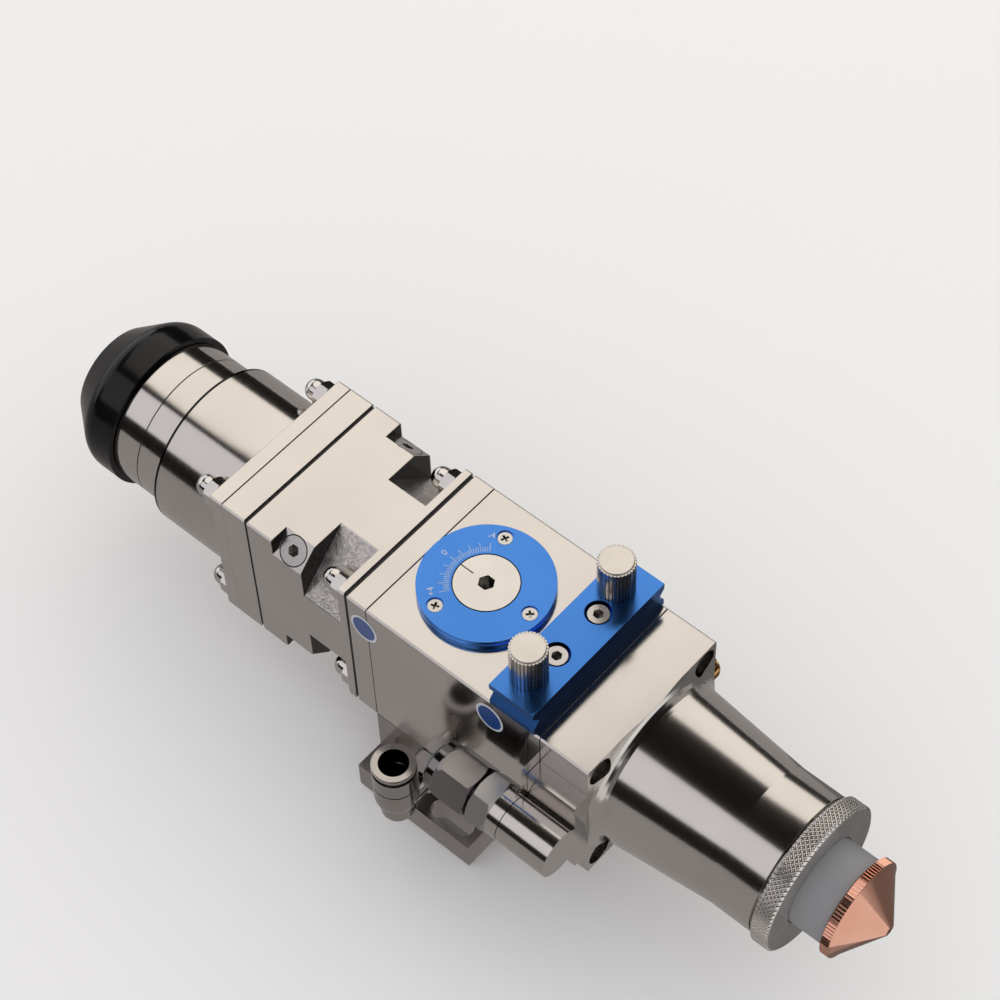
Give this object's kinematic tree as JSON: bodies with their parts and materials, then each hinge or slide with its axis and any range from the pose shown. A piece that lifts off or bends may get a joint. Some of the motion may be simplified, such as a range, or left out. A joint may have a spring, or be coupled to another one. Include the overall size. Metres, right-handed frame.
{
  "type": "laser cutting head",
  "caption": "Compact laser cutting head: square nickel-plated housing with focus dial, window drawer, gas fittings, fibre socket and copper nozzle, lying on its mounting bracket.",
  "frame": {"origin": "centre of the bracket's four mounting slots, on its mounting face", "axes": "+X along the beam to the nozzle, +Z out of the mounting face towards the dial"},
  "size_m": [0.2664, 0.079, 0.0959],
  "materials": {
    "nickel_plate": "nickel plated, ground faces",
    "bright_nickel": "nickel plated, fine turned",
    "blue_anodised": "blue anodised",
    "black_cap": "gloss black",
    "seal": "dark gasket",
    "dark_metal": "dark plated",
    "screw_steel": "machined steel",
    "lens_glass": "coated optical glass",
    "copper": "turned copper",
    "ceramic": "matt white ceramic",
    "gold": "gold plated",
    "release_green": "moulded green"
  },
  "bodies": {
    "housing": {"receiver_sleeve": "bright_nickel", "collimator_barrel": "nickel_plate", "centring_cover": "nickel_plate", "cover_gasket": "seal", "centring_block": "nickel_plate", "spring_plungers": "screw_steel", "flange_studs": "screw_steel", "flange_cap_nuts": "bright_nickel", "block_studs": "screw_steel", "block_cap_nuts": "bright_nickel", "adapter_joint": "seal", "adapter_plate": "nickel_plate", "main_body": "nickel_plate", "scale_ring": "blue_anodised", "scale_ring_screws": "screw_steel", "window_plate": "nickel_plate", "nozzle_body": "nickel_plate", "nozzle_body_screws": "screw_steel", "gas_fitting_nut": "screw_steel", "gas_fitting_body": "dark_metal", "elbow_stem": "screw_steel", "sensor_connector": "gold", "ceramic_ring": "ceramic", "mounting_bracket": "nickel_plate", "bracket_screws": "screw_steel"},
    "dust_cap": {"dust_cap": "black_cap"},
    "lock_ring": {"lock_ring": "bright_nickel"},
    "centring_screw_a": {"centring_screw_a": "screw_steel"},
    "centring_screw_b": {"centring_screw_b": "screw_steel"},
    "slide_washer": {"slide_washer": "gold"},
    "lens_cell": {"lens_cell": "dark_metal", "collimating_lens": "lens_glass", "lens_retainer": "dark_metal"},
    "focus_knob": {"focus_knob": "bright_nickel"},
    "focus_carrier": {"focus_lens_holder": "dark_metal", "focus_lens": "lens_glass", "focus_lens_retainer": "dark_metal"},
    "drawer": {"drawer_bar": "blue_anodised", "drawer_tray": "dark_metal", "protective_window": "lens_glass", "window_seal": "seal", "window_retainer": "bright_nickel", "drawer_bar_screws": "screw_steel"},
    "thumb_screw_left": {"thumb_screw_left": "bright_nickel"},
    "thumb_screw_right": {"thumb_screw_right": "bright_nickel"},
    "gas_fitting_collar": {"gas_fitting_collar": "release_green"},
    "elbow": {"elbow_body": "bright_nickel"},
    "elbow_collar": {"elbow_collar": "bright_nickel"},
    "retaining_nut": {"retaining_nut": "bright_nickel"},
    "nozzle": {"nozzle": "copper"}
  },
  "joints": [
    {"name": "cap_pull", "type": "slide", "parent": "housing", "child": "dust_cap", "axis": [-1, 0, 0], "range_m": [0, 0.12]},
    {"name": "lock_turn", "type": "hinge", "parent": "housing", "child": "lock_ring", "pos_m": [-0.11385, 0, 0.05], "axis": [1, 0, 0], "range_deg": [0, 60]},
    {"name": "centring_turn_a", "type": "hinge", "parent": "housing", "child": "centring_screw_a", "pos_m": [-0.04795, 0, 0.05], "axis": [0, -0.7071, 0.7071], "range_deg": [-360, 360]},
    {"name": "centring_turn_b", "type": "hinge", "parent": "housing", "child": "centring_screw_b", "pos_m": [-0.04795, 0, 0.05], "axis": [0, 0.7071, 0.7071], "range_deg": [-360, 360]},
    {"name": "centring_slide_a", "type": "slide", "parent": "housing", "child": "slide_washer", "axis": [0, -0.7071, 0.7071], "range_m": [-0.0007, 0.0007]},
    {"name": "centring_slide_b", "type": "slide", "parent": "slide_washer", "child": "lens_cell", "axis": [0, 0.7071, 0.7071], "range_m": [-0.0007, 0.0007]},
    {"name": "focus_turn", "type": "hinge", "parent": "housing", "child": "focus_knob", "pos_m": [-0.00085, 0, 0.075], "axis": [0, 0, 1], "range_deg": [-54, 54]},
    {"name": "focus_slide", "type": "slide", "parent": "housing", "child": "focus_carrier", "axis": [1, 0, 0], "range_m": [-0.004, 0.004]},
    {"name": "drawer_slide", "type": "slide", "parent": "housing", "child": "drawer", "axis": [0, 0, 1], "range_m": [0, 0.045]},
    {"name": "thumb_turn_left", "type": "hinge", "parent": "drawer", "child": "thumb_screw_left", "pos_m": [0.0278, -0.0167, 0.084], "axis": [0, 0, 1], "continuous": true},
    {"name": "thumb_turn_right", "type": "hinge", "parent": "drawer", "child": "thumb_screw_right", "pos_m": [0.0278, 0.0167, 0.084], "axis": [0, 0, 1], "continuous": true},
    {"name": "gas_collar_press", "type": "slide", "parent": "housing", "child": "gas_fitting_collar", "axis": [1, 0, 0], "range_m": [0, 0.001], "stiffness_N_per_m": 600},
    {"name": "elbow_swivel", "type": "hinge", "parent": "housing", "child": "elbow", "pos_m": [0, -0.039, 0.0202], "axis": [0, 1, 0], "range_deg": [-90, 90]},
    {"name": "elbow_collar_press", "type": "slide", "parent": "elbow", "child": "elbow_collar", "axis": [0, 0, -1], "range_m": [0, 0.001], "stiffness_N_per_m": 600},
    {"name": "nut_turn", "type": "hinge", "parent": "housing", "child": "retaining_nut", "pos_m": [0.10355, 0, 0.05], "axis": [1, 0, 0], "continuous": true},
    {"name": "nozzle_turn", "type": "hinge", "parent": "housing", "child": "nozzle", "pos_m": [0.11855, 0, 0.05], "axis": [1, 0, 0], "continuous": true}
  ],
  "couplings": [
    {"joint": "centring_turn_a", "follows": "centring_slide_a", "rad_per_m": 8976},
    {"joint": "centring_turn_b", "follows": "centring_slide_b", "rad_per_m": 8976},
    {"joint": "focus_slide", "follows": "focus_turn", "m_per_rad": 0.004244}
  ]
}
